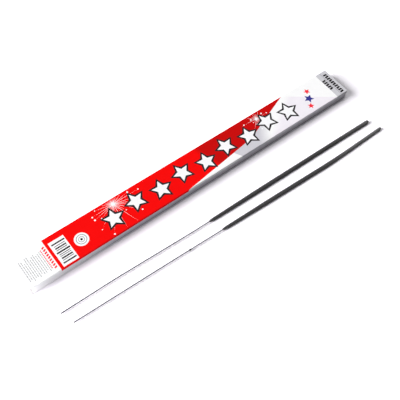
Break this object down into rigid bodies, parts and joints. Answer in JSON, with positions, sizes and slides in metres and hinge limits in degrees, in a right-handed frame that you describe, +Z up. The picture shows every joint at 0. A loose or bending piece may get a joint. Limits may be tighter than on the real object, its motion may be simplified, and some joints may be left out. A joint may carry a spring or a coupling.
{
  "type": "sparkler pack",
  "caption": "Long flat tuck-end board carton of hand sparklers, with dipped wire sparklers packed inside and laid out beside it.",
  "frame": {"origin": "middle of the carton's base, on the surface that the pack lies on", "axes": "+X along the carton towards the sparklers' coated tips, +Y from the loose sparklers to the carton's back, +Z up"},
  "size_m": [0.3641, 0.0861, 0.011],
  "materials": {
    "printed_board": "printed and varnished board, semi-gloss",
    "white_board": "white clay-coated board, satin",
    "steel_wire": "drawn bare wire, dull",
    "sparkler_coating": "dried grey slurry, matt and slightly grainy"
  },
  "bodies": {
    "carton": {"carton_top_panel": "printed_board", "carton_bottom_panel": "white_board", "carton_front_panel": "white_board", "carton_back_panel": "white_board", "carton_glue_flap": "white_board"},
    "left_tuck_flap": {"left_end_panel": "white_board", "left_tuck_lip": "white_board"},
    "left_front_dust_flap": {"left_front_dust_flap": "white_board"},
    "left_back_dust_flap": {"left_back_dust_flap": "white_board"},
    "right_tuck_flap": {"right_end_panel": "white_board", "right_tuck_lip": "white_board"},
    "right_front_dust_flap": {"right_front_dust_flap": "white_board"},
    "right_back_dust_flap": {"right_back_dust_flap": "white_board"},
    "packed_sparkler_1": {"packed_sparkler_1_wire": "steel_wire", "packed_sparkler_1_coating": "sparkler_coating"},
    "packed_sparkler_2": {"packed_sparkler_2_wire": "steel_wire", "packed_sparkler_2_coating": "sparkler_coating"},
    "packed_sparkler_3": {"packed_sparkler_3_wire": "steel_wire", "packed_sparkler_3_coating": "sparkler_coating"},
    "packed_sparkler_4": {"packed_sparkler_4_wire": "steel_wire", "packed_sparkler_4_coating": "sparkler_coating"},
    "packed_sparkler_5": {"packed_sparkler_5_wire": "steel_wire", "packed_sparkler_5_coating": "sparkler_coating"},
    "packed_sparkler_6": {"packed_sparkler_6_wire": "steel_wire", "packed_sparkler_6_coating": "sparkler_coating"},
    "far_sparkler": {"far_sparkler_wire": "steel_wire", "far_sparkler_coating": "sparkler_coating"},
    "near_sparkler": {"near_sparkler_wire": "steel_wire", "near_sparkler_coating": "sparkler_coating", "near_sparkler_bead": "sparkler_coating"}
  },
  "joints": [
    {"name": "left_tuck_hinge", "type": "hinge", "parent": "carton", "child": "left_tuck_flap", "pos_m": [-0.1816, 0, 0.0002], "axis": [0, -1, 0], "range_deg": [0, 90]},
    {"name": "left_front_dust_hinge", "type": "hinge", "parent": "carton", "child": "left_front_dust_flap", "pos_m": [-0.18105, -0.01645, 0.0052], "axis": [0, 0, 1], "range_deg": [0, 45]},
    {"name": "left_back_dust_hinge", "type": "hinge", "parent": "carton", "child": "left_back_dust_flap", "pos_m": [-0.18105, 0.01645, 0.0052], "axis": [0, 0, -1], "range_deg": [0, 45]},
    {"name": "right_tuck_hinge", "type": "hinge", "parent": "carton", "child": "right_tuck_flap", "pos_m": [0.1816, 0, 0.0002], "axis": [0, 1, 0], "range_deg": [0, 90]},
    {"name": "right_front_dust_hinge", "type": "hinge", "parent": "carton", "child": "right_front_dust_flap", "pos_m": [0.18105, -0.01645, 0.0052], "axis": [0, 0, -1], "range_deg": [0, 45]},
    {"name": "right_back_dust_hinge", "type": "hinge", "parent": "carton", "child": "right_back_dust_flap", "pos_m": [0.18105, 0.01645, 0.0052], "axis": [0, 0, 1], "range_deg": [0, 45]},
    {"name": "packed_sparkler_1_slide", "type": "slide", "parent": "carton", "child": "packed_sparkler_1", "axis": [1, 0, 0], "range_m": [-0.0053, 0.0053]},
    {"name": "packed_sparkler_2_slide", "type": "slide", "parent": "carton", "child": "packed_sparkler_2", "axis": [1, 0, 0], "range_m": [-0.0053, 0.0053]},
    {"name": "packed_sparkler_3_slide", "type": "slide", "parent": "carton", "child": "packed_sparkler_3", "axis": [1, 0, 0], "range_m": [-0.0053, 0.0053]},
    {"name": "packed_sparkler_4_slide", "type": "slide", "parent": "carton", "child": "packed_sparkler_4", "axis": [1, 0, 0], "range_m": [-0.0053, 0.0053]},
    {"name": "packed_sparkler_5_slide", "type": "slide", "parent": "carton", "child": "packed_sparkler_5", "axis": [1, 0, 0], "range_m": [-0.0053, 0.0053]},
    {"name": "packed_sparkler_6_slide", "type": "slide", "parent": "carton", "child": "packed_sparkler_6", "axis": [1, 0, 0], "range_m": [-0.0053, 0.0053]},
    {"name": "far_sparkler_lift", "type": "slide", "parent": "carton", "child": "far_sparkler", "axis": [0, 0, 1], "range_m": [0, 0.1]},
    {"name": "near_sparkler_lift", "type": "slide", "parent": "carton", "child": "near_sparkler", "axis": [0, 0, 1], "range_m": [0, 0.1]}
  ],
  "couplings": [
    {"joint": "left_front_dust_hinge", "follows": "left_tuck_hinge", "ratio": 0.5},
    {"joint": "left_back_dust_hinge", "follows": "left_tuck_hinge", "ratio": 0.5},
    {"joint": "right_front_dust_hinge", "follows": "right_tuck_hinge", "ratio": 0.5},
    {"joint": "right_back_dust_hinge", "follows": "right_tuck_hinge", "ratio": 0.5}
  ]
}
